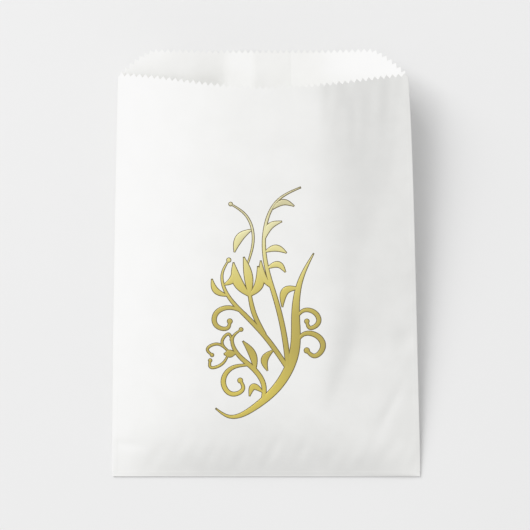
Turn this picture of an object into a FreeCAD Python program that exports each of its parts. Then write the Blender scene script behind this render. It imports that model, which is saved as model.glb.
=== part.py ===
"""Flat paper gift bag, lying on its back with its mouth part open.

The bag is one sheet of white paper: a tube glued along a lapped seam down the back, with its
bottom end folded under and glued, and with a pinked (saw-tooth) mouth whose back stands past
the front as a lip. The sheet is modelled in panels that meet along its folds and bends, because
those are what turn when the mouth opens and closes.

Frame: X across the bag, Y from the bottom fold to the mouth, Z up from the table.
The panels are drawn in the closed, flat bag, on sheet places (x, s), where s is the height above
the bottom fold, and are then swung open by MOUTH_ANGLE. All sizes are in millimetres.
"""

import FreeCAD
import Part
import math
import os

from FreeCAD import Rotation, Vector

# Overall sizes of the closed bag
BAG_WIDTH = 165.0
FRONT_HEIGHT = 216.0
LIP_HEIGHT = 13.0

# Mouth: the lip's rounded shoulders, the hollow in the front's edge, and the pinking. A shoulder
# is a quadratic curve: how fast it first runs inwards and rises, as shares of its whole run and rise
LIP_SHOULDER = 22.0
SHOULDER_RUN = 1.28
SHOULDER_RISE = 1.84
FRONT_EDGE_DIP = 3.0
TOOTH_PITCH = 3.2
TOOTH_DEPTH = 2.0

# Layers
PAPER = 0.12
GLUE_FILM = 0.04
PRINT_FILM = 0.03

# Back seam, where the right leaf laps over the inside of the left leaf
SEAM_OVERLAP = 19.0
SEAM_OFFSET = 5.0
SEAM_RAMP = 1.5

# Bottom, folded under the back: two plies, the outer one longer
FLAP_OUTER_DEPTH = 18.0
FLAP_INNER_DEPTH = 9.0
FLAP_RAMP = 3.0
GLUE_MARGIN = 1.5

# Side panels, which run from the bottom corners and are this wide at the mouth. A front panel's
# lower end is cut off where it has narrowed to the tip width
LEFT_PANEL_WIDTH = 60.0
RIGHT_PANEL_WIDTH = 50.0
PANEL_TIP_WIDTH = 0.4

# How far the mouth stands open: the front's angle from the back, in degrees
MOUTH_ANGLE = 13.0

# Clearances
LAYER_CLEARANCE = 0.15
PANEL_MARGIN = 1.0
BEND_CLEARANCE = 0.06
SIDE_CLEARANCE = 0.35
SIDE_FOLD_RADIUS = 0.25

# Gold print on the front: how far its lowest point is above the bottom fold, and its height
PRINT_BASE = 31.5
PRINT_HEIGHT = 128.0

# Places worked out from the sizes
HALF_WIDTH = BAG_WIDTH / 2
FLAP_STACK = 2 * PAPER + GLUE_FILM
SEAM_STEP = PAPER + GLUE_FILM
FRONT_LEVEL = FLAP_STACK + SEAM_STEP + PAPER + LAYER_CLEARANCE
FOLD_RADIUS = (FRONT_LEVEL + PAPER) / 2
BACK_HEIGHT = FRONT_HEIGHT + LIP_HEIGHT
FOLD_Y = -(BACK_HEIGHT - FOLD_RADIUS) / 2
BACK_SIDE_START = FLAP_OUTER_DEPTH + FLAP_RAMP + PANEL_MARGIN
PANEL_WIDTH = {-1: LEFT_PANEL_WIDTH, 1: RIGHT_PANEL_WIDTH}
BEND_SLOPE = {side: math.atan2(width, FRONT_HEIGHT) for side, width in PANEL_WIDTH.items()}
BEND_SETBACK = (PAPER / 2 + BEND_CLEARANCE) / math.cos(max(BEND_SLOPE.values()))
SIDE_EDGE = HALF_WIDTH - 2 * SIDE_FOLD_RADIUS - SIDE_CLEARANCE
BACK_START = {side: BACK_SIDE_START for side in PANEL_WIDTH}
FRONT_START = {side: (HALF_WIDTH - SIDE_EDGE + BEND_SETBACK + PANEL_TIP_WIDTH) * FRONT_HEIGHT / width
               for side, width in PANEL_WIDTH.items()}
SEAM_LEFT = SEAM_OFFSET - SEAM_OVERLAP / 2
SEAM_RIGHT = SEAM_OFFSET + SEAM_OVERLAP / 2

# The print is a vine scroll. Each stroke is the points that its middle passes through, right and
# up from the middle of the print's base on a sheet 128 high, and its widths at the start and end,
# with how much it swells between them. A dot is a stroke of one point and one width.
VINE_HEIGHT = 128.0
VINE = {
    "print_sweep": [
        ([(-27, 6), (-20, 1.6), (-6, 7), (8, 21), (15, 38), (15.5, 57), (18, 76), (25, 91)], 0.4, 0.3, 4.5),
    ],
    "print_tall_stem": [
        ([(12, 26), (10, 43), (5.5, 64), (0, 84), (-1, 103), (6, 120), (18, 127)], 2.6, 0.5, 0.4),
        ([(-1, 99), (2, 106), (8, 108.5)], 0.5, 0.4, 2.6),
        ([(-0.5, 92), (5, 94), (10.5, 91.5)], 0.5, 0.4, 2.8),
        ([(0.5, 83), (6.5, 85), (10, 81)], 0.5, 0.4, 2.6),
        ([(3.5, 72), (-1.5, 78), (-3, 87)], 0.5, 0.4, 2.6),
        ([(3.5, 115.5), (9, 119), (14.5, 117)], 0.5, 0.4, 2.4),
    ],
    "print_left_stems": [
        ([(11.5, 28), (-1, 46), (-12, 58), (-21, 69), (-23.5, 80), (-20, 87.5)], 2.2, 0.5, 0.7),
        ([(-11, 58), (-20, 61.5), (-27, 58), (-26.5, 51.5), (-20.5, 50.5), (-19.5, 54)], 0.8, 1.2, 1.3),
        ([(-19.5, 54)], 2.6),
        ([(-22.5, 74), (-18, 77), (-17.5, 83)], 0.5, 0.4, 2.8),
        ([(-20.5, 68), (-27, 71), (-29, 77)], 0.5, 0.4, 2.4),
        ([(-20, 87.5)], 2.2),
    ],
    "print_bell_flower": [
        ([(-1, 47), (-6.5, 58), (-9, 69)], 1.6, 1.6, 0.5),
        ([(-9, 68), (-15, 75), (-17.5, 86)], 1.0, 0.4, 4.2),
        ([(-9, 68), (-9.5, 78), (-12, 89)], 1.0, 0.4, 3.6),
        ([(-9, 68), (-4, 74), (-4.5, 84)], 1.0, 0.4, 3.8),
        ([(-9.8, 86), (-7, 99), (-11, 112), (-19, 118)], 0.6, 0.5, 0.4),
        ([(-8, 104), (-14, 100), (-17, 92)], 0.5, 0.4, 3.4),
        ([(-19, 118)], 1.9),
    ],
    "print_right_curls": [
        ([(15.5, 55), (20, 60), (26, 58.5), (27.5, 53), (23, 50.5), (21.5, 54)], 0.8, 1.2, 1.2),
        ([(21.5, 54)], 2.4),
        ([(15.5, 41), (20, 47), (27, 46), (30, 39.5), (25.5, 35), (21.5, 38)], 0.8, 1.4, 1.5),
        ([(21.5, 38)], 2.8),
        ([(17.5, 72), (10.5, 71), (8.5, 62)], 0.5, 0.4, 3.2),
    ],
    "print_lower_vine": [
        ([(-2, 9.5), (-1.5, 19), (-8, 29), (-16, 37), (-18, 45), (-13.5, 49.5)], 1.8, 0.5, 1.1),
        ([(-13.5, 49.5)], 2.0),
        ([(-6, 27), (-7.5, 36), (-12.5, 43)], 0.5, 0.4, 3.2),
        ([(-9.5, 30), (-19, 28), (-23, 20.5), (-18, 14), (-12.5, 17), (-14, 21.5)], 0.8, 1.2, 1.3),
        ([(-14, 21.5)], 2.6),
        ([(-1.8, 15), (-7, 18), (-9, 13)], 0.5, 0.4, 2.6),
        ([(3.5, 38), (-1, 33), (0.5, 27)], 0.5, 0.4, 3.0),
    ],
    "print_small_flower": [
        ([(-16.5, 36.5), (-22.5, 36)], 0.8, 0.5, 3.2),
        ([(-20.5, 37.5), (-27, 41.5), (-31.5, 38.5), (-29, 35.5)], 0.6, 0.9, 0.4),
        ([(-20, 37.5), (-23.5, 43.5), (-20, 47), (-18.5, 44)], 0.6, 0.9, 0.4),
        ([(-20.5, 35.5), (-24.5, 30), (-30, 29), (-30, 32.5)], 0.6, 0.9, 0.4),
        ([(-29, 35.5)], 1.8),
        ([(-18.5, 44)], 1.8),
        ([(-30, 32.5)], 1.8),
    ],
}


def place(x, s, z=0.0):
    """A point of the closed bag, from its sheet place and its height above the table."""
    return Vector(x, FOLD_Y + s, z)


def sheet(outline, level_at, thickness=PAPER):
    """A stretch of sheet that is flat, or slopes one way: an outline of (x, s) points that stands
    on level_at(x, s), and is thickness high."""
    points = [place(x, s, level_at(x, s)) for x, s in outline]
    face = Part.Face(Part.makePolygon(points + points[:1]))
    return face.extrude(Vector(0, 0, thickness))


def flat_sheet(outline, level, thickness=PAPER):
    """A flat stretch of sheet with its underside at one level."""
    return sheet(outline, lambda x, s: level, thickness)


def bend_x(side, s):
    """Place across the bag, at height s, of the bend line on one side: 1 right, -1 left."""
    return side * (HALF_WIDTH - PANEL_WIDTH[side] * s / FRONT_HEIGHT)


def lip_edge(x):
    """Height of the back's mouth edge: a rounded shoulder at each side fold, level between them."""
    run = max(0.0, min(1.0, (HALF_WIDTH - abs(x)) / LIP_SHOULDER))
    root = math.sqrt(SHOULDER_RUN ** 2 - 4 * (SHOULDER_RUN - 1) * run)
    along = (SHOULDER_RUN - root) / (2 * (SHOULDER_RUN - 1))
    return FRONT_HEIGHT + LIP_HEIGHT * (SHOULDER_RISE * along - (SHOULDER_RISE - 1) * along ** 2)


def front_edge(x):
    """Height of the front's mouth edge: a shallow hollow, deepest in the middle."""
    return FRONT_HEIGHT - FRONT_EDGE_DIP * (1 - (x / HALF_WIDTH) ** 2)


def level_edge(height):
    """An edge straight across the bag."""
    return lambda x: height


def pinked(edge, x0, x1):
    """A saw-tooth cut from x0 to x1, with its tips on an edge and a root at each end."""
    count = 60
    path = [(x0 + (x1 - x0) * i / count, edge(x0 + (x1 - x0) * i / count)) for i in range(count + 1)]
    lengths = [0.0]
    for a, b in zip(path, path[1:]):
        lengths.append(lengths[-1] + math.dist(a, b))
    teeth = max(1, round(lengths[-1] / TOOTH_PITCH))
    cut = []
    span = 0
    for step in range(2 * teeth + 1):
        along = lengths[-1] * step / (2 * teeth)
        while span < count - 1 and lengths[span + 1] < along:
            span += 1
        (ax, ay), (bx, by) = path[span], path[span + 1]
        length = math.dist(path[span], path[span + 1])
        part = (along - lengths[span]) / length
        inset = TOOTH_DEPTH if step % 2 == 0 else 0.0
        cut.append((ax + (bx - ax) * part + (by - ay) / length * inset,
                    ay + (by - ay) * part - (bx - ax) / length * inset))
    return [(x0, edge(x0) - TOOTH_DEPTH)] + cut[1:-1] + [(x1, edge(x1) - TOOTH_DEPTH)]


def between(edge, x0, x1):
    """The part of an edge's points from x0 to x1, cut at both ends."""
    def at(x):
        for (ax, ay), (bx, by) in zip(edge, edge[1:]):
            if ax <= x <= bx and bx > ax:
                return (x, ay + (by - ay) * (x - ax) / (bx - ax))
        return min(edge, key=lambda point: abs(point[0] - x))

    inner = [point for point in edge if x0 + 1e-6 < point[0] < x1 - 1e-6]
    return [at(x0)] + inner + [at(x1)]


def bend_foot(edge, side, setback):
    """Where a panel's edge along its bend, set back outwards, meets the roots of the mouth's teeth."""
    x = bend_x(side, FRONT_HEIGHT)
    for _ in range(8):
        x = bend_x(side, edge(x) - TOOTH_DEPTH) + side * setback
    return x


def below_panel(side, start):
    """The corner under a side panel: from the bag's side, in to the bend line."""
    top = start[side] - BEND_CLEARANCE
    return [(side * HALF_WIDTH, top), (bend_x(side, start[side]) - side * BEND_SETBACK, top)]


def front_middle():
    """The front between its two bend lines, in the closed bag."""
    mouth = pinked(front_edge, *[bend_foot(front_edge, side, -BEND_SETBACK) for side in (-1, 1)])
    bottom = [(-HALF_WIDTH, SIDE_CLEARANCE), (HALF_WIDTH, SIDE_CLEARANCE)]
    left, right = below_panel(-1, FRONT_START)[::-1], below_panel(1, FRONT_START)
    return flat_sheet(left + bottom + right + mouth[::-1], FRONT_LEVEL)


def side_panel(edge, side, start, level):
    """A side panel in the closed bag. side is 1 on the right and -1 on the left."""
    foot = bend_foot(edge, side, BEND_SETBACK)
    ends = sorted([foot, side * SIDE_EDGE])
    mouth = pinked(edge, *ends)[::-side]
    return flat_sheet([(bend_x(side, start) + side * BEND_SETBACK, start), (side * SIDE_EDGE, start)]
                      + mouth, level)


def back_leaf(x_stops, x_levels):
    """One leaf of the back. Its level is the sum of a step across the bag, given here, and the
    step up onto the folded-under bottom. The first or last stop is the bag's side."""
    feet = [bend_foot(lip_edge, side, -BEND_SETBACK) for side in (-1, 1)]
    mouth = pinked(lip_edge, *feet)
    ramp_end = FLAP_OUTER_DEPTH + FLAP_RAMP
    cells = []
    for (x0, x1), (z0, z1) in zip(zip(x_stops, x_stops[1:]), zip(x_levels, x_levels[1:])):
        def level_at(x, s):
            across = z0 + (z1 - z0) * (x - x0) / (x1 - x0)
            rise = max(0.0, min(1.0, (ramp_end - s) / FLAP_RAMP))
            return across + FLAP_STACK * rise

        for s0, s1 in ((0.0, FLAP_OUTER_DEPTH), (FLAP_OUTER_DEPTH, ramp_end)):
            cells.append(sheet([(x0, s0), (x1, s0), (x1, s1), (x0, s1)], level_at))
        upper = between(mouth, max(x0, feet[0]), min(x1, feet[1]))[::-1]
        if x1 == HALF_WIDTH:
            upper = below_panel(1, BACK_START) + upper
        if x0 == -HALF_WIDTH:
            upper = upper + below_panel(-1, BACK_START)[::-1]
        cells.append(sheet([(x0, ramp_end), (x1, ramp_end)] + upper, level_at))
    return cells[0].multiFuse(cells[1:]).removeSplitter()


def back_leaves():
    """The back's two leaves. Both ride over the folded-under bottom, and the right one also over
    the left one, where they are glued."""
    left = back_leaf([-HALF_WIDTH, SEAM_RIGHT], [0.0, 0.0])
    right = back_leaf([SEAM_LEFT, SEAM_RIGHT + BEND_CLEARANCE, SEAM_RIGHT + SEAM_RAMP, HALF_WIDTH],
                      [SEAM_STEP, SEAM_STEP, 0.0, 0.0])
    return left, right


def seam_glue():
    """The glue film in the back seam's lap, above the ramp at the bottom."""
    start = FLAP_OUTER_DEPTH + FLAP_RAMP + GLUE_MARGIN
    end = BACK_HEIGHT - TOOTH_DEPTH - GLUE_MARGIN
    left, right = SEAM_LEFT + GLUE_MARGIN, SEAM_RIGHT - GLUE_MARGIN
    return flat_sheet([(left, start), (right, start), (right, end), (left, end)], PAPER, GLUE_FILM)


def flap_ply(depth, level, half_width):
    """One ply of the folded-under bottom, with the knife's pinked end."""
    end = pinked(level_edge(depth), -half_width, half_width)
    return flat_sheet([(-half_width, 0.0)] + end + [(half_width, 0.0)], level)


def flap_glue():
    """Two glue strips: on the inner ply, and on what the outer ply has beyond it."""
    half = HALF_WIDTH - GLUE_MARGIN
    strips = [(GLUE_MARGIN, FLAP_INNER_DEPTH - TOOTH_DEPTH - GLUE_MARGIN, 2 * PAPER),
              (FLAP_INNER_DEPTH + GLUE_MARGIN, FLAP_OUTER_DEPTH - TOOTH_DEPTH - GLUE_MARGIN, PAPER)]
    return Part.makeCompound([
        flat_sheet([(-half, a), (half, a), (half, b), (-half, b)], level, FLAP_STACK - level)
        for a, b, level in strips])


def half_round_fold(radius, centre_level, half_width):
    """Paper turned back on itself round the bottom edge, as half of a thin tube along X."""
    start = place(-half_width, 0.0, centre_level)
    along = Vector(1, 0, 0)
    tube = Part.makeCylinder(radius, 2 * half_width, start, along)
    tube = tube.cut(Part.makeCylinder(radius - PAPER, 2 * half_width, start, along))
    keep = Part.makeBox(2 * half_width, radius + 1.0, 2 * radius + 2.0,
                        place(-half_width, -radius - 1.0, centre_level - radius - 1.0))
    return tube.common(keep)


def bend_rod(side, start, end, level):
    """The bend itself: a round of paper thickness on the line that a side panel turns about."""
    a = place(bend_x(side, start), start, level)
    b = place(bend_x(side, end), end, level)
    return Part.makeCylinder(PAPER / 2, (b - a).Length, a, b - a)


def side_fold(side):
    """The folded edge between the back and front side panels, a round bead up the bag's side."""
    level = FOLD_RADIUS
    start = place(side * (HALF_WIDTH - SIDE_FOLD_RADIUS), BACK_SIDE_START, level)
    length = FRONT_HEIGHT - TOOTH_DEPTH - BACK_SIDE_START
    bead = Part.makeCylinder(SIDE_FOLD_RADIUS, length, start, Vector(0, 1, 0))
    # a web of paper joins the bead to the back side panel's edge
    edge, reach = side * SIDE_EDGE, side * (HALF_WIDTH - SIDE_FOLD_RADIUS)
    web_points = [Vector(edge, start.y, 0), Vector(edge, start.y, PAPER),
                  Vector(reach, start.y, level), Vector(reach, start.y, level - PAPER)]
    web = Part.Face(Part.makePolygon(web_points + web_points[:1])).extrude(Vector(0, length, 0))
    return bead.fuse(web).removeSplitter()


def print_point(point):
    """A point of the front's upper face, from a point of the vine."""
    scale = PRINT_HEIGHT / VINE_HEIGHT
    return place(point[0] * scale, PRINT_BASE + point[1] * scale, FRONT_LEVEL + PAPER)


def stroke_face(points, *widths):
    """One stroke of the vine as a flat face: two smooth sides a swelling width apart, or a dot."""
    scale = PRINT_HEIGHT / VINE_HEIGHT
    if len(points) == 1:
        circle = Part.makeCircle(widths[0] / 2 * scale, print_point(points[0]))
        return Part.Face(Part.Wire(circle))
    start, end, swell = widths
    middle = Part.BSplineCurve()
    middle.interpolate([print_point(point) for point in points])
    first, last = middle.FirstParameter, middle.LastParameter
    stations = 4 * len(points)
    sides = ([], [])
    for i in range(stations + 1):
        t = i / stations
        at = first + (last - first) * t
        across = middle.tangent(at)[0].cross(Vector(0, 0, 1))
        half = (start + (end - start) * t + swell * math.sin(math.pi * t)) / 2 * scale
        for side, sign in zip(sides, (-1, 1)):
            side.append(middle.value(at) + across * (sign * half))
    edges = []
    for side in sides:
        curve = Part.BSplineCurve()
        curve.interpolate(side)
        edges.append(curve.toShape())
    edges += [Part.makeLine(sides[0][k], sides[1][k]) for k in (0, -1)]
    return Part.Face(Part.Wire(Part.__sortEdges__(edges)))


def print_films():
    """The gold print: each motif's strokes as one film, cut clear of the motifs before it."""
    films = {}
    earlier = []
    for name, strokes in VINE.items():
        solids = [stroke_face(*stroke).extrude(Vector(0, 0, PRINT_FILM)) for stroke in strokes]
        film = solids[0].multiFuse(solids[1:]) if len(solids) > 1 else solids[0]
        near = [other for other in earlier if other.BoundBox.intersect(film.BoundBox)]
        if near:
            film = film.cut(near)
        films[name] = lifted_front(film.removeSplitter())
        earlier.append(film)
    return films


# How the panels swing


def side_angle(side, opening):
    """A side's turn at its bends when the front stands open by an angle, in radians.

    Four panels meet at each bottom corner. The back and front side panels share the side fold,
    so the spherical triangle of bottom fold, bend and side fold fixes the turn.
    """
    slope = BEND_SLOPE[side]
    third_side = math.pi / 2
    for _ in range(6):
        turn = math.asin(math.sin(opening / 2) * math.sin(third_side) / math.sin(slope))
        third_side = math.acos(math.sin(slope) * math.cos(slope) * (1 - math.cos(turn)))
    return turn


def swung(shape, centre, axis, degrees):
    """A copy of shape turned about an axis by the right-hand rule."""
    copy = shape.copy()
    copy.rotate(centre, axis, degrees)
    return copy


def bend_axis(side, level):
    """A bend line's start and direction. A positive turn lifts the back side panel's outer edge."""
    corner = place(side * HALF_WIDTH, 0.0, level)
    mouth = place(bend_x(side, FRONT_HEIGHT), FRONT_HEIGHT, level)
    along = (mouth - corner).normalize()
    return corner, along * -side


def lifted_back_side(shape, side):
    """A back side panel's piece, swung up from the table to the part-open mouth."""
    centre, axis = bend_axis(side, PAPER / 2)
    return swung(shape, centre, axis, SIDE_TURN[side])


def lifted_front(shape):
    """A piece of the front, swung up about the bottom fold."""
    return swung(shape, place(0, 0, FOLD_RADIUS), Vector(1, 0, 0), MOUTH_ANGLE)


def lifted_front_side(shape, side):
    """A front side panel's piece, turned down at its bend and swung up with the front."""
    centre, axis = bend_axis(side, FRONT_LEVEL + PAPER / 2)
    return lifted_front(swung(shape, centre, axis, -SIDE_TURN[side]))


SIDE_TURN = {side: math.degrees(side_angle(side, math.radians(MOUTH_ANGLE))) for side in PANEL_WIDTH}


def build():
    """Every sub-part by its node name."""
    parts = {}
    parts["back_left_leaf"], parts["back_right_leaf"] = back_leaves()
    parts["back_seam_glue"] = seam_glue()
    parts["bottom_flap_outer_ply"] = flap_ply(FLAP_OUTER_DEPTH, 0.0, HALF_WIDTH)
    parts["bottom_flap_inner_ply"] = flap_ply(FLAP_INNER_DEPTH, PAPER, HALF_WIDTH)
    parts["bottom_flap_glue"] = flap_glue()
    parts["bottom_fold"] = half_round_fold(FOLD_RADIUS, FOLD_RADIUS, HALF_WIDTH)

    parts["front_panel"] = lifted_front(front_middle())

    rod_end = FRONT_HEIGHT - FRONT_EDGE_DIP - TOOTH_DEPTH
    for side, name in ((-1, "left"), (1, "right")):
        parts[f"back_bend_{name}"] = bend_rod(side, BACK_SIDE_START, rod_end, PAPER / 2)
        parts[f"back_side_{name}"] = lifted_back_side(
            side_panel(lip_edge, side, BACK_SIDE_START, 0.0), side)
        parts[f"side_fold_{name}"] = lifted_back_side(side_fold(side), side)
        parts[f"front_bend_{name}"] = lifted_front(
            bend_rod(side, FRONT_START[side], rod_end, FRONT_LEVEL + PAPER / 2))
        parts[f"front_side_{name}"] = lifted_front_side(
            side_panel(front_edge, side, FRONT_START[side], FRONT_LEVEL), side)
    parts.update(print_films())
    return parts


def main():
    os.makedirs("parts", exist_ok=True)
    for name, shape in build().items():
        if not shape.isValid() or not shape.Solids:
            raise ValueError(f"{name} isn't a valid solid")
        shape.exportStep(f"parts/{name}.step")
        box = shape.BoundBox
        print(f"{name}: {len(shape.Solids)} solid(s), {shape.Volume:.2f} mm3, "
              f"x {box.XMin:.2f}..{box.XMax:.2f}, y {box.YMin:.2f}..{box.YMax:.2f}, "
              f"z {box.ZMin:.2f}..{box.ZMax:.2f}")


main()
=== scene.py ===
import math

import bpy
import numpy as np
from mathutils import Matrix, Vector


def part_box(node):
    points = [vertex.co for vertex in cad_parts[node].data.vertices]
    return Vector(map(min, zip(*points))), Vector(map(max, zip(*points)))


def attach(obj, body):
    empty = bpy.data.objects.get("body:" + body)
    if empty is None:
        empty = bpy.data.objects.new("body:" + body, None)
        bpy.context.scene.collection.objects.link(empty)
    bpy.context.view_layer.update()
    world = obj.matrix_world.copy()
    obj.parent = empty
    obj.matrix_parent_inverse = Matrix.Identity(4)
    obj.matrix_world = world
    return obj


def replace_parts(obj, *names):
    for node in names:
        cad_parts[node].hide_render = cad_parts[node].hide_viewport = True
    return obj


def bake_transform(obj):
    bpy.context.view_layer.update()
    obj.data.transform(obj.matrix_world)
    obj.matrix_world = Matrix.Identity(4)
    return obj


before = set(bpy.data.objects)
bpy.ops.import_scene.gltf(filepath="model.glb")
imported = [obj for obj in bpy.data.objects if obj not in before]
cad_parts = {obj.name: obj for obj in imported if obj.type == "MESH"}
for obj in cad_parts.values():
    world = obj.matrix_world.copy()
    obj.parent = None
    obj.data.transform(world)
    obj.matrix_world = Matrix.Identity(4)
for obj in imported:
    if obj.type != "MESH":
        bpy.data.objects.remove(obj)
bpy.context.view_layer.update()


# ---------------------------------------------------------------------------------------------
# Bottom flap
# The bag's lower end is folded under the back in two plies and stuck down with cold glue. The
# plies are the same white wrapping paper as the rest of the bag, and keep their CAD shapes.

# Sizes and shapes are worked out in millimetres, and a mesh is turned to metres when it is made.
# x runs across the bag, s runs up it from the bottom fold, and z is the height above the table.
MM = 0.001


def low(node):
    """A CAD node's lowest corner at rest."""
    return np.array(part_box(node)[0]) / MM


def high(node):
    """A CAD node's highest corner at rest."""
    return np.array(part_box(node)[1]) / MM


def add_node(tree, kind, inputs=(), **settings):
    """A shader node with its settings, its input values and its incoming links."""
    made = tree.nodes.new(kind)
    for name, value in settings.items():
        setattr(made, name, value)
    for name, value in dict(inputs).items():
        if isinstance(value, bpy.types.NodeSocket):
            tree.links.new(value, made.inputs[name])
        else:
            made.inputs[name].default_value = value
    return made


def new_material(name):
    """An empty node material with its Principled shader, as (material, tree, shader, places)."""
    material = bpy.data.materials.new(name)
    material.use_nodes = True
    tree = material.node_tree
    tree.nodes.clear()
    shader = add_node(tree, "ShaderNodeBsdfPrincipled")
    add_node(tree, "ShaderNodeOutputMaterial", {"Surface": shader.outputs["BSDF"]})
    places = add_node(tree, "ShaderNodeTexCoord").outputs["Object"]
    return material, tree, shader, places


def colour_stops(tree, factor, stops):
    """A colour ramp through (position, linear colour) stops."""
    ramp = add_node(tree, "ShaderNodeValToRGB", {"Fac": factor})
    elements = ramp.color_ramp.elements
    while len(elements) < len(stops):
        elements.new(1.0)
    for element, (position, colour) in zip(elements, stops):
        element.position = position
        element.color = (*colour, 1.0)
    return ramp.outputs["Color"]


def white_paper():
    """Smooth bleached wrapping paper, with faint clouding in its pulp and fine raised fibres."""
    material, tree, shader, places = new_material("white_paper")
    clouds = add_node(tree, "ShaderNodeTexNoise", {"Vector": places, "Scale": 90.0, "Detail": 4.0})
    pulp = colour_stops(tree, clouds.outputs["Fac"],
                        [(0.35, (0.90, 0.90, 0.883)), (0.65, (0.925, 0.925, 0.908))])
    fibres = add_node(tree, "ShaderNodeTexNoise", {"Vector": places, "Scale": 1400.0, "Detail": 3.0,
                                                   "Roughness": 0.7})
    matt = add_node(tree, "ShaderNodeMapRange", {"Value": fibres.outputs["Fac"], "To Min": 0.62,
                                                 "To Max": 0.80})
    bump = add_node(tree, "ShaderNodeBump", {"Height": fibres.outputs["Fac"], "Strength": 0.25,
                                             "Distance": 0.00004})
    tree.links.new(pulp, shader.inputs["Base Color"])
    tree.links.new(matt.outputs["Result"], shader.inputs["Roughness"])
    tree.links.new(bump.outputs["Normal"], shader.inputs["Normal"])
    shader.inputs["Specular IOR Level"].default_value = 0.3
    return material


def dried_glue():
    """Cold paper glue, dried to a thin cream film with small bubbles in it."""
    material, tree, shader, places = new_material("dried_glue")
    bubbles = add_node(tree, "ShaderNodeTexVoronoi", {"Vector": places, "Scale": 450.0})
    tint = colour_stops(tree, bubbles.outputs["Distance"],
                        [(0.0, (0.86, 0.84, 0.75)), (0.6, (0.72, 0.69, 0.58))])
    bump = add_node(tree, "ShaderNodeBump", {"Height": bubbles.outputs["Distance"], "Strength": 0.3,
                                             "Distance": 0.00003})
    tree.links.new(tint, shader.inputs["Base Color"])
    tree.links.new(bump.outputs["Normal"], shader.inputs["Normal"])
    shader.inputs["Roughness"].default_value = 0.42
    return material


def finish_with(piece, *materials):
    """Gives a piece its materials, in place of any that it has."""
    piece.data.materials.clear()
    for material in materials:
        piece.data.materials.append(material)


PAPER_FINISH = white_paper()
GLUE_FINISH = dried_glue()
for ply in ("bottom_flap_outer_ply", "bottom_flap_inner_ply"):
    finish_with(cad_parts[ply], PAPER_FINISH)
finish_with(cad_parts["bottom_flap_glue"], GLUE_FINISH)


# ---------------------------------------------------------------------------------------------
# Back
# The sheet's two ends meet down the back and lap over each other. The back lies on the table, its
# sides rise to the side folds, and at the mouth it stands past the front as a pinked lip.

# The sheet, its bottom fold and the flap under it, from the CAD pieces.
PAPER = high("bottom_flap_outer_ply")[2]
FOLD_Y = high("bottom_fold")[1]
FOLD_LEVEL = high("bottom_fold")[2] / 2
HALF_WIDTH = high("bottom_fold")[0]
FLAP_STACK = high("bottom_flap_glue")[2]
FLAP_DEPTH = high("bottom_flap_outer_ply")[1] - FOLD_Y
FLAP_RAMP = 3.0

# The pinked cut, the lip, and the mouth line that the lip stands past.
TOOTH_PITCH = 3.2
TOOTH_DEPTH = 2.0
TOOTH_COLUMNS = 6
STEEPEST_SHIFT = 0.55
TEETH_START = 0.965
LIP_HEIGHT = 13.4
LIP_SHOULDER = 0.125
SHOULDER_START = 1.28
MOUTH = high("back_left_leaf")[1] - LIP_HEIGHT - FOLD_Y

# For each side, left -1 and right 1: how far its fold rises and is drawn in by the mouth, where
# its joint's bend line and the foot of its wall reach the mouth, and how much its lip curls back.
SIDE_RISE = {-1: high("side_fold_left")[2] - 2.5, 1: high("side_fold_right")[2] - 0.8}
DRAWN_IN = {-1: 3.9, 1: 7.6}
WALL_AT_MOUTH = {-1: -22.0, 1: 32.5}
LIP_CURL = {-1: 0.6, 1: 0.1}
FOLD_HALF_GAP = 0.3


def smoothstep(low_end, high_end, value):
    """0 below low_end, 1 above high_end, and between them the cubic 3t^2 - 2t^3 of the way t."""
    t = np.clip((value - low_end) / (high_end - low_end), 0, 1)
    return t * t * (3 - 2 * t)


def softplus(value, radius):
    """0 for values well below 0, the value itself well above it, and a bend of that radius
    between: the radius times the logarithm of 1 + exp(value / radius)."""
    return radius * np.logaddexp(0, value / radius)


def side_line(side, s):
    """Plan place of a side fold, from its bottom corner to the mouth, where it is drawn in: on the
    left by the power 1.5 of the way up, on the right evenly, and a little more at the top."""
    v = np.clip(s / MOUTH, 0, 1)
    if side < 0:
        return -HALF_WIDTH + DRAWN_IN[-1] * v ** 1.5
    return HALF_WIDTH - DRAWN_IN[1] * (0.8 * v + 0.2 * v ** 8)


def side_level(side, s):
    """Height of a side fold: an even rise from its bottom corner to the mouth."""
    return FOLD_LEVEL + SIDE_RISE[side] * np.clip(s / MOUTH, 0, 1)


def plan_x(u, s):
    """Place across the bag at the share u of the way from the left side fold to the right one."""
    left, right = side_line(-1, s), side_line(1, s)
    return left + (right - left) * u


def lip_edge(u):
    """The back's cut edge: level, with a shoulder down to each side fold. The shoulder is a curve
    in its own parameter: the run across is one quadratic of it, and the rise is another."""
    run = np.clip((0.5 - np.abs(u - 0.5)) / LIP_SHOULDER, 0, 1)
    bow = SHOULDER_START - 1
    along = (SHOULDER_START - np.sqrt(SHOULDER_START ** 2 - 4 * bow * run)) / (2 * bow)
    return MOUTH + LIP_HEIGHT * (1.84 * along - 0.84 * along ** 2)


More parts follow.
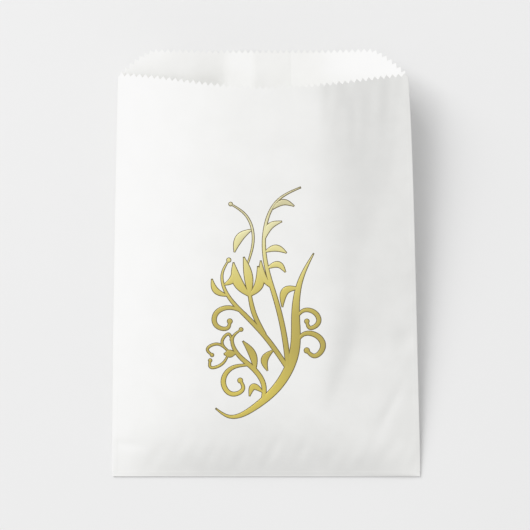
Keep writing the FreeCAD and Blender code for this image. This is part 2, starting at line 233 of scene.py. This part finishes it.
def pinked_grid(edge, u0, u1, rows):
    """A grid of (x, s) places from the bottom fold to a pinked mouth edge.

    The edge's length is shared into whole teeth, each of the same count of columns. A column's top
    place is the edge moved in, square to it, by a triangle wave of the tooth's depth; where the
    edge is so steep that columns would cross, part of the move is made along the edge instead. The
    rows under the top take up that movement within a few millimetres, and are otherwise even
    shares of the height.
    """
    fine = np.linspace(0, 1, 4001)
    edge_x, edge_s = plan_x(fine, edge(fine)), edge(fine)
    along = np.concatenate([[0], np.cumsum(np.hypot(np.diff(edge_x), np.diff(edge_s)))])
    teeth = round(along[-1] / TOOTH_PITCH)
    stations = np.interp(np.linspace(0, along[-1], TOOTH_COLUMNS * teeth + 1), along, fine)
    u = np.concatenate([[u0], stations[(stations > u0 + 1e-4) & (stations < u1 - 1e-4)], [u1]])
    phase = np.interp(u, fine, along) / along[-1] * teeth
    inset = TOOTH_DEPTH * np.abs(2 * (phase % 1) - 1)
    slope = np.interp(u, fine, np.gradient(edge_s, edge_x))
    square = slope / np.hypot(slope, 1)
    kept = np.minimum(1, STEEPEST_SHIFT / np.maximum(np.abs(slope), 0.01))
    v = np.linspace(0, 1, rows)[:, None]
    s = v * edge(u)
    x = plan_x(u, s)
    taken_up = smoothstep(TEETH_START, 1.0, v) * inset
    downward = 1 / np.hypot(slope, 1) + (1 - kept) * slope * square
    return x + kept * square * taken_up, s - downward * taken_up


def trough(x, s):
    """Height of the back's underside: on the table between the walls, and a wall up to each side
    fold, as a soft-cornered ramp that is scaled to meet the fold. From a little below the mouth
    line the wall curls back by a growing share of its height, starting later close to the fold.
    Over the flap the back is lifted by the flap's thickness, and near the lip it stands off the
    table in a low ridge, which is a sum of soft-cornered ramps."""
    v = np.clip(s / MOUTH, 0, 1)
    walls = 0.0
    for side in (-1, 1):
        level = side_level(side, s) - FOLD_HALF_GAP
        reach = side * side_line(side, s)
        foot = side * (side * HALF_WIDTH + (WALL_AT_MOUTH[side] - side * HALF_WIDTH) * v)
        width = np.maximum(reach - foot, 0.5)
        radius = np.minimum(2.2, 0.2 * width)
        rise = softplus(side * x - foot, radius) / softplus(width, radius)
        from_fold = width - (side * x - foot)
        curl_start = MOUTH - 4 - 12 * smoothstep(0, 45, from_fold)
        curl = LIP_CURL[side] * smoothstep(curl_start, MOUTH + 24, s)
        walls = walls + level * rise * (1 - curl) * (side * x > 0)
    lifted = FLAP_STACK * (1 - smoothstep(FLAP_DEPTH, FLAP_DEPTH + FLAP_RAMP, s))
    at_lip = smoothstep(0.72, 1.0, v)
    ridge = (0.14 * softplus(x + 23, 1.5) - 0.21 * softplus(x + 7, 0.5)
             + 0.10 * softplus(x - 12, 0.5))
    return walls + lifted * np.exp(-walls) + ridge * at_lip * np.exp(-walls / 3)


def new_piece(name, vertices, faces, sharp=()):
    """A smooth-shaded mesh object from vertices in millimetres, sharp along some vertex pairs."""
    mesh = bpy.data.meshes.new(name)
    mesh.from_pydata((vertices * MM).tolist(), [], faces.tolist())
    mesh.polygons.foreach_set("use_smooth", np.ones(len(mesh.polygons), bool))
    if len(sharp):
        ends = np.empty(2 * len(mesh.edges), np.int64)
        mesh.edges.foreach_get("vertices", ends)
        key = np.sort(ends.reshape(-1, 2), axis=1) @ [len(vertices), 1]
        wanted = np.sort(sharp, axis=1) @ [len(vertices), 1]
        mesh.edges.foreach_set("use_edge_sharp", np.isin(key, wanted))
    piece = bpy.data.objects.new(name, mesh)
    bpy.context.scene.collection.objects.link(piece)
    return piece


def thin_sheet(name, face, thickness):
    """A closed sheet from a grid of points on its outer face, whose columns cross its rows to the
    right. The inner face is the grid moved back along its own normals by the thickness, and a rim
    of quads joins the two round their borders, along sharp edges."""
    across = np.gradient(face, axis=1)
    up = np.gradient(face, axis=0)
    normals = np.cross(across, up)
    normals /= np.linalg.norm(normals, axis=2, keepdims=True)
    inner = face - normals * thickness
    rows, columns = face.shape[:2]
    index = np.arange(rows * columns).reshape(rows, columns)
    a, b, c, d = index[:-1, :-1], index[:-1, 1:], index[1:, 1:], index[1:, :-1]
    outside = np.stack([a, b, c, d], axis=-1).reshape(-1, 4)
    inside = outside[:, ::-1] + rows * columns
    border = np.concatenate([index[0, :-1], index[:-1, -1], index[-1, :0:-1], index[:0:-1, 0]])
    following = np.roll(border, -1)
    under = border + rows * columns
    under_following = np.roll(under, -1)
    rim = np.stack([under, under_following, following, border], axis=-1)
    sharp = np.concatenate([np.stack([border, following], axis=1),
                            np.stack([under, under_following], axis=1)])
    vertices = np.concatenate([face.reshape(-1, 3), inner.reshape(-1, 3)])
    return new_piece(name, vertices, np.concatenate([outside, inside, rim]), sharp)


def standing(x, s, z):
    """A grid of points from its places on the sheet and its heights."""
    return np.stack([x, FOLD_Y + s, z], axis=-1)


BACK_ROWS = 150
SEAM_STEP = high("back_seam_glue")[2]
SEAM_RAMP = 1.5
SEAM_CLEARANCE = 0.05
SEAM = (low("back_right_leaf")[0], high("back_left_leaf")[0])
SEAM_SHARE = [(x + HALF_WIDTH) / (2 * HALF_WIDTH) for x in SEAM]


def seam_lift(x, s):
    """How far the right leaf is raised by the left one that it laps over: a step with a ramp."""
    past_left_leaf = x - plan_x(SEAM_SHARE[1], s) - SEAM_CLEARANCE
    return SEAM_STEP * (1 - smoothstep(0, SEAM_RAMP, past_left_leaf))


def back_leaf(name, u0, u1, lift):
    """One leaf of the back, seen from below, so its columns run leftwards."""
    x, s = pinked_grid(lip_edge, u0, u1, BACK_ROWS)
    under = standing(x, s, trough(x, s) + lift(x, s))
    leaf = thin_sheet(name, under[:, ::-1], PAPER)
    finish_with(leaf, PAPER_FINISH)
    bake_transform(leaf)
    return leaf


left_leaf = back_leaf("paper_back_left", 0.0, SEAM_SHARE[1], lambda x, s: 0.0)
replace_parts(left_leaf, "back_left_leaf", "back_side_left", "back_bend_left")
right_leaf = back_leaf("paper_back_right", SEAM_SHARE[0], 1.0, seam_lift)
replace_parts(right_leaf, "back_right_leaf", "back_side_right", "back_bend_right")


# ---------------------------------------------------------------------------------------------
# Back seam glue
# A thin film of cold glue holds the right leaf down on the left one, between the two sheets.

GLUE_MARGIN = 1.5
glue_start = low("back_seam_glue")[1] - FOLD_Y
glue_end = high("back_seam_glue")[1] - FOLD_Y
margin_share = GLUE_MARGIN / (2 * HALF_WIDTH)
glue_u, glue_s = np.meshgrid(
    np.linspace(SEAM_SHARE[0] + margin_share, SEAM_SHARE[1] - margin_share, 12),
    np.linspace(glue_start, glue_end, 100))
glue_x = plan_x(glue_u, glue_s)
glue_top = trough(glue_x, glue_s) + SEAM_STEP
seam_glue = thin_sheet("glue_back_seam", standing(glue_x, glue_s, glue_top), SEAM_STEP - PAPER)
finish_with(seam_glue, GLUE_FINISH)
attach(seam_glue, "back")
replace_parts(seam_glue, "back_seam_glue")


# ---------------------------------------------------------------------------------------------
# Front
# The front is one stretch of the sheet, standing open at the mouth. It rises steeply out of the
# bottom fold, rides level across, and falls away to the side folds, more sharply on the right,
# where it is creased. Its two halves meet down the middle, and each takes the place of the front
# panel and its own side panel.

FRONT_ROWS = 155
FRONT_FOOT = high("bottom_fold")[2]
CROWN_AT_MOUTH = high("front_panel")[2] - 2.6
MOUTH_DIP = 7.7
FOOT_RISE = 10.5
FOOT_LENGTH = 24.0
SLOPE_STEEPNESS = 0.48
FACET_PUFF = 0.9


def soft_min(a, b, radius):
    """The lower of two heights, with their crossing rounded off."""
    return a - softplus(a - b, radius)


def soft_max(a, b, radius):
    """The higher of two heights, with their crossing rounded off."""
    return a + softplus(b - a, radius)


def crown(x, s):
    """Height of the front's ridge: a steady rise, and a foot that starts steeper and eases off as
    a hyperbolic tangent. Towards the left corner the foot is flatter."""
    foot = FOOT_RISE * (0.42 + 0.58 * smoothstep(-85, -20, x))
    steady = CROWN_AT_MOUTH - FRONT_FOOT - foot
    return FRONT_FOOT + foot * np.tanh(s / FOOT_LENGTH) + steady * s / MOUTH


def right_fall(x, s):
    """The right of the front: the crown, cut off by a steep slope, which itself ends in a flatter
    facet that runs out to the side fold, a little puffed up low down. The slope and the facet cross
    in the long slanting crease. The slope's start is drawn back towards the mouth."""
    v = s / MOUTH
    start = 33.5 + 3.5 * smoothstep(0.22, 0.45, v) - 9 * v ** 4
    slope = crown(x, s) - SLOPE_STEEPNESS * (x - start)
    facet_steepness = 0.23 + 0.08 * smoothstep(0.3, 0.5, v)
    from_side = side_line(1, s) - x
    low_down = 1 - smoothstep(0.55, 0.8, v)
    puffed = FACET_PUFF * (1 - np.exp(-np.maximum(from_side, 0) / 9)) * low_down
    facet = side_level(1, s) + FOLD_HALF_GAP + facet_steepness * from_side + puffed
    lower = soft_max(slope, facet, 0.4)
    rounding = 1.3 + 1.5 * smoothstep(0.22, 0.5, v) - 1.7 * smoothstep(0.7, 1.0, v)
    return soft_min(crown(x, s), lower, rounding)


def bell(offset, reach):
    """A Gaussian bell: 1 where the offset is 0, and nearly gone at twice the reach."""
    return np.exp(-(offset / reach) ** 2)


def bottom_puckers(x, s):
    """Short slanting waves just above the bottom fold, two sines of uneven pitch under a bell."""
    main = np.sin(0.33 * (x - 0.7 * s) + 2.2 * np.sin(0.061 * x))
    fine = np.sin(0.71 * x - 0.3 * s + 2 * np.sin(0.05 * x))
    place = bell(s - 12 - 3 * np.sin(0.11 * x), 7) * smoothstep(-80, -60, x)
    return 0.08 * (main + 0.6 * fine) * place


def mouth_puckers(x, s):
    """Upright waves at the right of the mouth, two sines of uneven pitch that grow to the edge."""
    main = np.sin(0.47 * x + 0.08 * s + 1.9 * np.sin(0.13 * x))
    fine = np.sin(0.78 * x - 0.07 * s)
    growth = smoothstep(0.76 + 0.05 * np.sin(0.37 * x), 0.97, s / MOUTH)
    return 0.09 * (main + 0.6 * fine) * growth * smoothstep(24, 34, x) * (1 - smoothstep(66, 74, x))


def creases(x, s):
    """The puckers, three dents that are bells across their own lines, and a broad unevenness."""
    corner_dent = -0.35 * bell(s - 17 + 0.12 * (x + 75), 2.6) * (1 - smoothstep(-72, -64, x))
    lower_crease = -0.3 * bell((x - 66) * 0.85 - (s - 36) * 0.4, 2.8) * bell(s - 36, 13)
    edge_dent = -0.45 * bell(x - 74, 5) * bell(s - 73, 6)
    broad = (0.10 * np.sin(0.13 * x + 0.05 * s + 1.1) * np.sin(0.045 * x - 0.11 * s)
             + 0.05 * np.sin(0.21 * s + 0.04 * x))
    dents = corner_dent + lower_crease + edge_dent
    return bottom_puckers(x, s) + mouth_puckers(x, s) + dents + broad


def front_height(x, s):
    """Height of the front's outer face. It follows right_fall, less a drop on each side of the
    ridge that brings it down to its side fold: the whole drop, times a power of the share of the
    way from the ridge to the side. On the left that power is higher near the bottom, which keeps
    the front full there. The creases fade out at the edges."""
    v = np.clip(s / MOUTH, 0, 1)
    ridge = 6 + 8 * v
    left_line, right_line = side_line(-1, s), side_line(1, s)
    left_share = np.clip((ridge - x) / (ridge - left_line), 0, None)
    left_excess = right_fall(left_line, s) - side_level(-1, s) - FOLD_HALF_GAP
    right_share = np.clip((x - ridge) / (right_line - ridge), 0, None)
    right_excess = right_fall(right_line, s) - side_level(1, s) - FOLD_HALF_GAP
    left_drop = left_excess * left_share ** (3.0 + 2.0 * (1 - v) ** 1.2)
    right_drop = right_excess * right_share ** 4
    from_sides = np.clip((right_line - x) / 3, 0, 1) * np.clip((x - left_line) / 3, 0, 1)
    fade = smoothstep(0.0, 4.0, s) * from_sides
    return right_fall(x, s) - left_drop - right_drop + creases(x, s) * fade


def front_edge(u):
    """The front's cut edge in plan: it hangs back in the middle, where the front stands highest, by
    a half sine wave that is slightly skewed and sharpened."""
    return MOUTH - MOUTH_DIP * np.sin(np.pi * u ** 1.07) ** 1.35


def front_half(name, u0, u1):
    """One half of the front, from its side fold to the middle."""
    x, s = pinked_grid(front_edge, u0, u1, FRONT_ROWS)
    half = thin_sheet(name, standing(x, s, front_height(x, s)), PAPER)
    finish_with(half, PAPER_FINISH)
    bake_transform(half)
    return half


left_half = front_half("paper_front_left", 0.0, 0.5)
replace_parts(left_half, "front_panel", "front_side_left", "front_bend_left")
right_half = front_half("paper_front_right", 0.5, 1.0)
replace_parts(right_half, "front_panel", "front_side_right", "front_bend_right")


# ---------------------------------------------------------------------------------------------
# Side folds
# The sheet is folded flat down each side, so the fold is a tight round edge between back and front.
# It starts above the pressed margin of the bottom fold. Its strip stands a skin off both sheets.

FOLD_LEG = 2.2
PRESSED = 2.4
SKIN = 0.05
STRIP = 0.8 * SKIN


def side_fold(name, side):
    """A side fold as a narrow sheet: along the front's margin, half round the edge, and back along
    the back's margin. Its profile is a leg, a half circle that joins the two margins, and a leg."""
    s = np.linspace(PRESSED, MOUTH - TOOTH_DEPTH, 180)[:, None]
    edge = side_line(side, s)
    inward = np.linspace(FOLD_LEG, 0, 5)
    leg_x = edge - side * inward
    top = np.stack([leg_x, front_height(leg_x, s) + SKIN], axis=-1)
    bottom = np.stack([leg_x, trough(leg_x, s) - SKIN], axis=-1)
    middle = (top[:, -1:, 1] + bottom[:, -1:, 1]) / 2
    radius = (top[:, -1:, 1] - bottom[:, -1:, 1]) / 2
    turn = np.linspace(0, math.pi, 9)[1:-1]
    round_part = np.stack([edge + side * radius * np.sin(turn), middle + radius * np.cos(turn)],
                          axis=-1)
    profile = np.concatenate([top, round_part, bottom[:, ::-1]], axis=1)
    if side < 0:
        profile = profile[:, ::-1]
    face = np.stack([profile[..., 0], FOLD_Y + s + 0 * profile[..., 0], profile[..., 1]], axis=-1)
    fold = thin_sheet(name, face, STRIP)
    finish_with(fold, PAPER_FINISH)
    return fold


for side, word in ((-1, "left"), (1, "right")):
    fold = side_fold(f"paper_side_fold_{word}", side)
    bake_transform(fold)
    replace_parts(fold, f"side_fold_{word}")


# ---------------------------------------------------------------------------------------------
# Bottom fold
# The front turns under at the bottom in a tight half round, pressed flat by the bag machine's
# rollers, which leave a faint line just above the fold.

def bottom_fold():
    """The bottom fold as a narrow sheet whose profile is a half circle from the flap's underside,
    and a leg that follows the front's foot. None of it goes below the table."""
    x = np.linspace(-HALF_WIDTH, HALF_WIDTH, 220)[None, :]
    turn = np.linspace(0, math.pi, 11)[:, None]
    radius = FRONT_FOOT / 2
    round_s = -radius * np.sin(turn) + 0 * x
    round_z = radius - (radius + SKIN) * np.cos(turn) + 0 * x
    leg_s = np.linspace(0, PRESSED - 0.1, 7)[1:, None] + 0 * x
    leg_z = front_height(x + 0 * leg_s, leg_s) + SKIN
    s = np.concatenate([round_s, leg_s])
    z = np.maximum(np.concatenate([round_z, leg_z]), 0)
    fold = thin_sheet("paper_bottom_fold", standing(x + 0 * s, s, z), STRIP)
    finish_with(fold, PAPER_FINISH)
    return fold


bottom = bottom_fold()
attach(bottom, "back")
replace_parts(bottom, "bottom_fold")


# ---------------------------------------------------------------------------------------------
# Gold print
# The vine is printed in gold ink, a few hundredths of a millimetre thick, over a slightly wider
# print in dark bronze that shows as a fine keyline round every stroke.

KEYLINE = 0.34
INK = 0.03
GOLD_INSET = 0.08
GOLD_LEVEL = 2.2 * INK
GOLD_DOME = 0.05
STROKE_STEP = 0.0015

# Each stroke is its middle line's points, and its width at the start, at the end, and the swell
# between them. A dot is one point and its diameter.
VINE = {
    "sweep": [
        ([(-27, 6), (-20, 1.6), (-6, 7), (8, 21), (15, 38), (15.5, 57), (18, 76), (25, 91)],
         0.4, 0.3, 4.5),
    ],
    "tall_stem": [
        ([(12, 26), (10, 43), (5.5, 64), (0, 84), (-1, 103), (6, 120), (18, 127)], 2.6, 0.5, 0.4),
        ([(-1, 99), (2, 106), (8, 108.5)], 0.5, 0.4, 2.6),
        ([(-0.5, 92), (5, 94), (10.5, 91.5)], 0.5, 0.4, 2.8),
        ([(0.5, 83), (6.5, 85), (10, 81)], 0.5, 0.4, 2.6),
        ([(3.5, 72), (-1.5, 78), (-3, 87)], 0.5, 0.4, 2.6),
        ([(3.5, 115.5), (9, 119), (14.5, 117)], 0.5, 0.4, 2.4),
    ],
    "left_stems": [
        ([(11.5, 28), (-1, 46), (-12, 58), (-21, 69), (-23.5, 80), (-20, 87.5)], 2.2, 0.5, 0.7),
        ([(-11, 58), (-20, 61.5), (-27, 58), (-26.5, 51.5), (-20.5, 50.5), (-19.5, 54)],
         0.8, 1.2, 1.3),
        ([(-19.5, 54)], 2.6),
        ([(-22.5, 74), (-18, 77), (-17.5, 83)], 0.5, 0.4, 2.8),
        ([(-20.5, 68), (-27, 71), (-29, 77)], 0.5, 0.4, 2.4),
        ([(-20, 87.5)], 2.2),
    ],
    "bell_flower": [
        ([(-1, 47), (-6.5, 58), (-9, 69)], 1.6, 1.6, 0.5),
        ([(-9, 68), (-15, 75), (-17.5, 86)], 1.0, 0.4, 4.2),
        ([(-9, 68), (-9.5, 78), (-12, 89)], 1.0, 0.4, 3.6),
        ([(-9, 68), (-4, 74), (-4.5, 84)], 1.0, 0.4, 3.8),
        ([(-9.8, 86), (-7, 99), (-11, 112), (-19, 118)], 0.6, 0.5, 0.4),
        ([(-8, 104), (-14, 100), (-17, 92)], 0.5, 0.4, 3.4),
        ([(-19, 118)], 1.9),
    ],
    "right_curls": [
        ([(15.5, 55), (20, 60), (26, 58.5), (27.5, 53), (23, 50.5), (21.5, 54)], 0.8, 1.2, 1.2),
        ([(21.5, 54)], 2.4),
        ([(15.5, 41), (20, 47), (27, 46), (30, 39.5), (25.5, 35), (21.5, 38)], 0.8, 1.4, 1.5),
        ([(21.5, 38)], 2.8),
        ([(17.5, 72), (10.5, 71), (8.5, 62)], 0.5, 0.4, 3.2),
    ],
    "lower_vine": [
        ([(-2, 9.5), (-1.5, 19), (-8, 29), (-16, 37), (-18, 45), (-13.5, 49.5)], 1.8, 0.5, 1.1),
        ([(-13.5, 49.5)], 2.0),
        ([(-6, 27), (-7.5, 36), (-12.5, 43)], 0.5, 0.4, 3.2),
        ([(-9.5, 30), (-19, 28), (-23, 20.5), (-18, 14), (-12.5, 17), (-14, 21.5)], 0.8, 1.2, 1.3),
        ([(-14, 21.5)], 2.6),
        ([(-1.8, 15), (-7, 18), (-9, 13)], 0.5, 0.4, 2.6),
        ([(3.5, 38), (-1, 33), (0.5, 27)], 0.5, 0.4, 3.0),
    ],
    "small_flower": [
        ([(-16.5, 36.5), (-22.5, 36)], 0.8, 0.5, 3.2),
        ([(-20.5, 37.5), (-27, 41.5), (-31.5, 38.5), (-29, 35.5)], 0.6, 0.9, 0.4),
        ([(-20, 37.5), (-23.5, 43.5), (-20, 47), (-18.5, 44)], 0.6, 0.9, 0.4),
        ([(-20.5, 35.5), (-24.5, 30), (-30, 29), (-30, 32.5)], 0.6, 0.9, 0.4),
        ([(-29, 35.5)], 1.8),
        ([(-18.5, 44)], 1.8),
        ([(-30, 32.5)], 1.8),
    ],
}


def smooth_path(points, count):
    """A path through given points, as (count, 2) places: a natural cubic spline in each
    coordinate, over the length of the straight runs between them."""
    points = np.array(points, float)
    knots = np.concatenate([[0], np.cumsum(np.linalg.norm(np.diff(points, axis=0), axis=1))])
    gaps = np.diff(knots)
    size = len(points)
    system = np.eye(size)
    right = np.zeros((size, 2))
    for i in range(1, size - 1):
        system[i, i - 1:i + 2] = gaps[i - 1], 2 * (gaps[i - 1] + gaps[i]), gaps[i]
        slope_after = (points[i + 1] - points[i]) / gaps[i]
        slope_before = (points[i] - points[i - 1]) / gaps[i - 1]
        right[i] = 6 * (slope_after - slope_before)
    bends = np.linalg.solve(system, right)
    at = np.linspace(0, knots[-1], count)
    span = np.clip(np.searchsorted(knots, at) - 1, 0, size - 2)
    gap = gaps[span][:, None]
    a = ((knots[span + 1] - at) / gaps[span])[:, None]
    b = 1 - a
    curve = ((a ** 3 - a) * bends[span] + (b ** 3 - b) * bends[span + 1]) * gap ** 2 / 6
    return a * points[span] + b * points[span + 1] + curve


def stroke_sides(stroke, wider):
    """Middle line, sideways direction and half width of a stroke. Its width goes evenly from start
    to end, and swells by half a sine wave between them. A dot is a short stroke across its centre,
    whose half width follows a circle."""
    points, *widths = stroke
    if len(points) == 1:
        radius = widths[0] / 2 + wider
        t = np.linspace(-1, 1, 17)
        middle = np.array(points[0]) + radius * np.stack([t, 0 * t], axis=1)
        half = radius * np.sqrt(np.maximum(1 - t ** 2, 0.0004))
        return middle, np.tile([0.0, 1.0], (17, 1)), half
    start, end, swell = widths
    count = 12 * len(points)
    middle = smooth_path(points, count)
    forward = np.gradient(middle, axis=0)
    forward /= np.linalg.norm(forward, axis=1, keepdims=True)
    middle[0] -= forward[0] * wider
    middle[-1] += forward[-1] * wider
    t = np.linspace(0, 1, count)
    half = (start + (end - start) * t + swell * np.sin(math.pi * t)) / 2 + wider
    return middle, np.stack([-forward[:, 1], forward[:, 0]], axis=1), half


strokes = [stroke for motif in VINE.values() for stroke in motif]
plain_sides = [stroke_sides(stroke, 0) for stroke in strokes]
outline = np.concatenate([middle + way * sideways * half[:, None]
                          for middle, sideways, half in plain_sides for way in (-1, 1)])
vine_low, vine_high = outline.min(axis=0), outline.max(axis=0)
PRINT_NODES = [f"print_{motif}" for motif in VINE]
print_low = np.min([low(node)[:2] for node in PRINT_NODES], axis=0)
print_high = np.max([high(node)[:2] for node in PRINT_NODES], axis=0)
PRINT_SCALE = (print_high - print_low) / (vine_high - vine_low)


def ink_stroke(stroke, wider, level, dome):
    """A stroke as a closed film on the front: across it, a low parabolic arch between two edges
    that stand in the paper. Rings of nine points follow the stroke, and its two ends thin out and
    are capped. Returns its points, its walls' faces, and the cap at each end."""
    middle, sideways, half = stroke_sides(stroke, wider)
    share = np.array([-1, -0.9, -0.5, 0, 0.5, 0.9, 1, 1, -1])
    arch = level + dome * (1 - share ** 2)
    arch[[0, 6]] = level * 0.5
    arch[7:] = -0.04
    places = middle[:, None] + sideways[:, None] * (half[:, None] * share)[..., None]
    x, y = np.moveaxis(print_low + (places - vine_low) * PRINT_SCALE, -1, 0)
    swell = np.minimum(half / 1.2, 1.5)[:, None] * dome * (1 - share ** 2) * (share ** 2 < 1)
    s = y - FOLD_Y
    rings, around = x.shape
    from_end = np.minimum(np.arange(rings), np.arange(rings)[::-1])[:, None]
    thinned = np.minimum(1, 0.25 + 0.25 * from_end)
    z = front_height(x, s) + (arch + swell) * np.where(arch > 0, thinned, 1)
    index = np.arange(rings * around).reshape(rings, around)
    ahead = np.roll(index, -1, axis=1)
    walls = np.stack([index[:-1], index[1:], ahead[1:], ahead[:-1]], axis=-1).reshape(-1, 4)
    return standing(x, s, z).reshape(-1, 3), walls, index[0][::-1], index[-1]


def bronze_keyline():
    """Dark bronze ink, matt, a little uneven in its cover."""
    material, tree, shader, places = new_material("bronze_keyline")
    cover = add_node(tree, "ShaderNodeTexNoise", {"Vector": places, "Scale": 700.0, "Detail": 2.0})
    tint = colour_stops(tree, cover.outputs["Fac"],
                        [(0.3, (0.115, 0.085, 0.03)), (0.7, (0.19, 0.145, 0.06))])
    tree.links.new(tint, shader.inputs["Base Color"])
    shader.inputs["Roughness"].default_value = 0.5
    return material


def gold_ink():
    """Gold ink that is laid down as a blend up the vine: deep yellow at its foot, olive, old gold,
    bright gold, and pale cream at the tips, with a fine grain of metal flakes."""
    material, tree, shader, places = new_material("gold_ink")
    height = add_node(tree, "ShaderNodeSeparateXYZ", {"Vector": places}).outputs["Y"]
    share = add_node(tree, "ShaderNodeMapRange", {"Value": height, "From Min": print_low[1] * MM,
                                                  "From Max": print_high[1] * MM})
    blend = colour_stops(tree, share.outputs["Result"], [
        (0.00, (0.74, 0.60, 0.13)), (0.10, (0.76, 0.62, 0.13)), (0.30, (0.56, 0.455, 0.11)),
        (0.45, (0.60, 0.49, 0.12)), (0.58, (0.78, 0.66, 0.18)), (0.71, (0.88, 0.80, 0.33)),
        (0.82, (0.92, 0.87, 0.50)), (1.00, (0.66, 0.60, 0.36))])
    flakes = add_node(tree, "ShaderNodeTexNoise", {"Vector": places, "Scale": 2600.0,
                                                   "Detail": 2.0})
    bump = add_node(tree, "ShaderNodeBump", {"Height": flakes.outputs["Fac"], "Strength": 0.2,
                                             "Distance": 0.00002})
    tree.links.new(blend, shader.inputs["Base Color"])
    tree.links.new(bump.outputs["Normal"], shader.inputs["Normal"])
    shader.inputs["Metallic"].default_value = 0.3
    shader.inputs["Roughness"].default_value = 0.36
    return material


GOLD_FINISH = gold_ink()
KEYLINE_FINISH = bronze_keyline()


def printed_motif(motif, motif_strokes):
    """All strokes of one motif in one piece: the keyline of each, and the gold of each over it.
    Each stroke lies a hair higher than the one before, so that no two faces share a place."""
    layers = ((KEYLINE, INK, 0.0), (-GOLD_INSET, GOLD_LEVEL, GOLD_DOME))
    vertices, faces, finishes = [], [], []
    total = 0
    for finish, (wider, level, dome) in enumerate(layers):
        for number, stroke in enumerate(motif_strokes):
            points, walls, first_cap, last_cap = ink_stroke(
                stroke, wider, level + STROKE_STEP * number, dome)
            vertices.append(points)
            stroke_faces = [*(walls + total).tolist(), (first_cap + total).tolist(),
                            (last_cap + total).tolist()]
            faces += stroke_faces
            finishes += [finish] * len(stroke_faces)
            total += len(points)
    mesh = bpy.data.meshes.new(f"gold_{motif}")
    mesh.from_pydata((np.concatenate(vertices) * MM).tolist(), [], faces)
    mesh.polygons.foreach_set("use_smooth", np.ones(len(faces), bool))
    piece = bpy.data.objects.new(f"gold_{motif}", mesh)
    bpy.context.scene.collection.objects.link(piece)
    finish_with(piece, KEYLINE_FINISH, GOLD_FINISH)
    mesh.polygons.foreach_set("material_index", np.array(finishes, np.int32))
    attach(piece, "front")
    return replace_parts(piece, f"print_{motif}")


for motif, motif_strokes in VINE.items():
    printed_motif(motif, motif_strokes)


# ---------------------------------------------------------------------------------------------
# Table, light and camera
# The bag lies on a plain pale table top. A broad soft light stands up and to the left of it, and
# the white room fills the shadows. The camera looks straight down through a long lens.

TABLE_SIZE = 6.0
TABLE_GAP = 0.02
LIGHT_PLACE = (-2.6, 2.8, 2.9)
LIGHT_SIZE = 3.4
LIGHT_POWER = 186.0
ROOM_STRENGTH = 0.62
VIEW_WIDTH = 0.285
CAMERA_PLACE = (-0.0008, -0.001, 2.5)
SENSOR = 36.0


def table_top():
    """A flat square a hair below the bag, its material a pale grey with a trace of unevenness."""
    half = TABLE_SIZE / MM / 2
    corners = np.array([[-half, -half, 0], [half, -half, 0], [half, half, 0], [-half, half, 0]])
    table = new_piece("table_top", corners - [0, 0, TABLE_GAP], np.array([[0, 1, 2, 3]]))
    material, tree, shader, places = new_material("table_paint")
    cloud = add_node(tree, "ShaderNodeTexNoise", {"Vector": places, "Scale": 3.0})
    tint = colour_stops(tree, cloud.outputs["Fac"],
                        [(0.3, (0.83, 0.83, 0.83)), (0.7, (0.84, 0.84, 0.84))])
    tree.links.new(tint, shader.inputs["Base Color"])
    shader.inputs["Roughness"].default_value = 0.9
    shader.inputs["Specular IOR Level"].default_value = 0.1
    finish_with(table, material)


def soft_light(name, place, size, power):
    """A square area light that faces the middle of the bag."""
    light = bpy.data.lights.new(name, "AREA")
    light.shape = "SQUARE"
    light.size = size
    light.energy = power
    lamp = bpy.data.objects.new(name, light)
    bpy.context.scene.collection.objects.link(lamp)
    toward = -np.array(place) / np.linalg.norm(place)
    lamp.location = place
    lamp.rotation_euler = (math.acos(-toward[2]), 0, math.atan2(toward[1], toward[0]) - math.pi / 2)


table_top()
soft_light("key_light", LIGHT_PLACE, LIGHT_SIZE, LIGHT_POWER)

world = bpy.data.worlds.new("white_room")
world.use_nodes = True
background = world.node_tree.nodes["Background"]
background.inputs["Color"].default_value = (1.0, 1.0, 1.0, 1.0)
background.inputs["Strength"].default_value = ROOM_STRENGTH
bpy.context.scene.world = world

# A camera's own response: straight in the mid tones, with highlights eased off below white. Each
# pair is a scene value and the value that it is shown as.
BRIGHTEST = 1.6
RESPONSE = ((0.70, 0.69), (0.90, 0.868), (1.0, 0.925), (1.2, 0.97))
view = bpy.context.scene.view_settings
view.view_transform = "Standard"
view.use_curve_mapping = True
view.curve_mapping.white_level = (BRIGHTEST,) * 3
combined_curve = view.curve_mapping.curves[3]
for scene_value, shown_value in RESPONSE:
    combined_curve.points.new(scene_value / BRIGHTEST, shown_value)
view.curve_mapping.update()

lens = bpy.data.cameras.new("camera")
lens.sensor_width = SENSOR
lens.lens = SENSOR * CAMERA_PLACE[2] / VIEW_WIDTH
lens.clip_end = 20.0
camera = bpy.data.objects.new("camera", lens)
camera.location = CAMERA_PLACE
bpy.context.scene.collection.objects.link(camera)
bpy.context.scene.camera = camera
